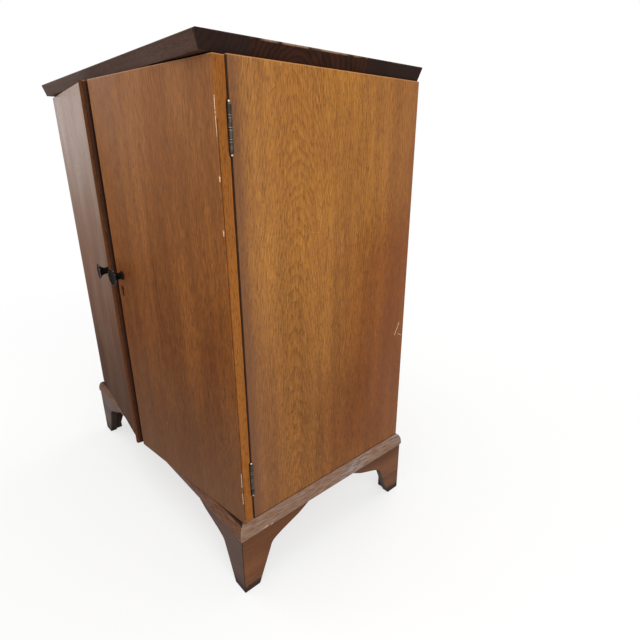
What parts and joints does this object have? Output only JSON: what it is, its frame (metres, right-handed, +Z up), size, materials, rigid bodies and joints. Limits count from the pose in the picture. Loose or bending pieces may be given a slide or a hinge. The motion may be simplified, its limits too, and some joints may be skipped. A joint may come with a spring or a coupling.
{
  "type": "bar cabinet",
  "caption": "Two-door wooden bar cabinet on a moulded base frame with bracket feet, with trumpet knobs, butt hinges, a lock, a door bolt and one shelf.",
  "frame": {"origin": "on the floor, at the middle of the whole cabinet's width and depth with its doors ajar", "axes": "+Z up, -Y out of the front, +X to the right as seen from the front"},
  "size_m": [0.7894, 0.5185, 0.9651],
  "materials": {
    "side_veneer": "satin",
    "door_veneer": "satin",
    "astragal_wood": "satin",
    "ebonised_top": "satin",
    "rail_wood": "worn",
    "foot_wood": "satin",
    "inside_wood": "matt",
    "back_board": "matt",
    "dark_bronze": "aged",
    "black_bronze": "satin",
    "brass": "satin",
    "steel": "satin"
  },
  "bodies": {
    "cabinet": {"top_slab": "ebonised_top", "case_floor": "inside_wood", "case_top_board": "inside_wood", "back_panel": "back_board", "shelf": "inside_wood", "door_bolt_keep": "brass", "right_side": "side_veneer", "left_side": "side_veneer", "front_right_shelf_pin": "steel", "front_left_shelf_pin": "steel", "back_right_shelf_pin": "steel", "back_left_shelf_pin": "steel", "front_right_top_screw": "steel", "front_left_top_screw": "steel", "back_right_top_screw": "steel", "back_left_top_screw": "steel", "base_rail_front": "rail_wood", "base_rail_back": "rail_wood", "base_rail_right": "rail_wood", "base_rail_left": "rail_wood", "front_right_foot_front": "foot_wood", "front_right_foot_side": "foot_wood", "front_left_foot_front": "foot_wood", "front_left_foot_side": "foot_wood", "back_right_foot_back": "foot_wood", "back_right_foot_side": "foot_wood", "back_left_foot_back": "foot_wood", "back_left_foot_side": "foot_wood", "front_right_foot_block": "inside_wood", "front_left_foot_block": "inside_wood", "back_right_foot_block": "inside_wood", "back_left_foot_block": "inside_wood", "right_upper_case_leaf": "dark_bronze", "right_lower_case_leaf": "dark_bronze", "left_upper_case_leaf": "dark_bronze", "left_lower_case_leaf": "dark_bronze", "right_upper_hinge_pin": "dark_bronze", "right_lower_hinge_pin": "dark_bronze", "left_upper_hinge_pin": "dark_bronze", "left_lower_hinge_pin": "dark_bronze"},
    "right_door": {"right_door_panel": "door_veneer", "right_knob": "black_bronze", "right_knob_screw": "steel", "right_upper_door_leaf": "dark_bronze", "right_lower_door_leaf": "dark_bronze", "lock_case": "brass"},
    "left_door": {"left_door_panel": "door_veneer", "astragal": "astragal_wood", "left_knob": "black_bronze", "left_knob_screw": "steel", "left_upper_door_leaf": "dark_bronze", "left_lower_door_leaf": "dark_bronze", "strike_plate": "brass", "door_bolt_plate": "brass"},
    "lock_bolt": {"lock_bolt": "brass"},
    "door_bolt": {"door_bolt": "brass"}
  },
  "joints": [
    {"name": "right_door_hinge", "type": "hinge", "parent": "cabinet", "child": "right_door", "pos_m": [0.3865, -0.17289, 0.2509], "axis": [0, 0, 1], "range_deg": [-6.1, 173.9]},
    {"name": "left_door_hinge", "type": "hinge", "parent": "cabinet", "child": "left_door", "pos_m": [-0.3865, -0.17289, 0.2509], "axis": [0, 0, -1], "range_deg": [-6.6, 173.4]},
    {"name": "lock_bolt_slide", "type": "slide", "parent": "right_door", "child": "lock_bolt", "axis": [-0.9943, -0.1063, 0], "range_m": [0, 0.007]},
    {"name": "door_bolt_slide", "type": "slide", "parent": "left_door", "child": "door_bolt", "axis": [0, 0, 1], "range_m": [0, 0.014]}
  ]
}
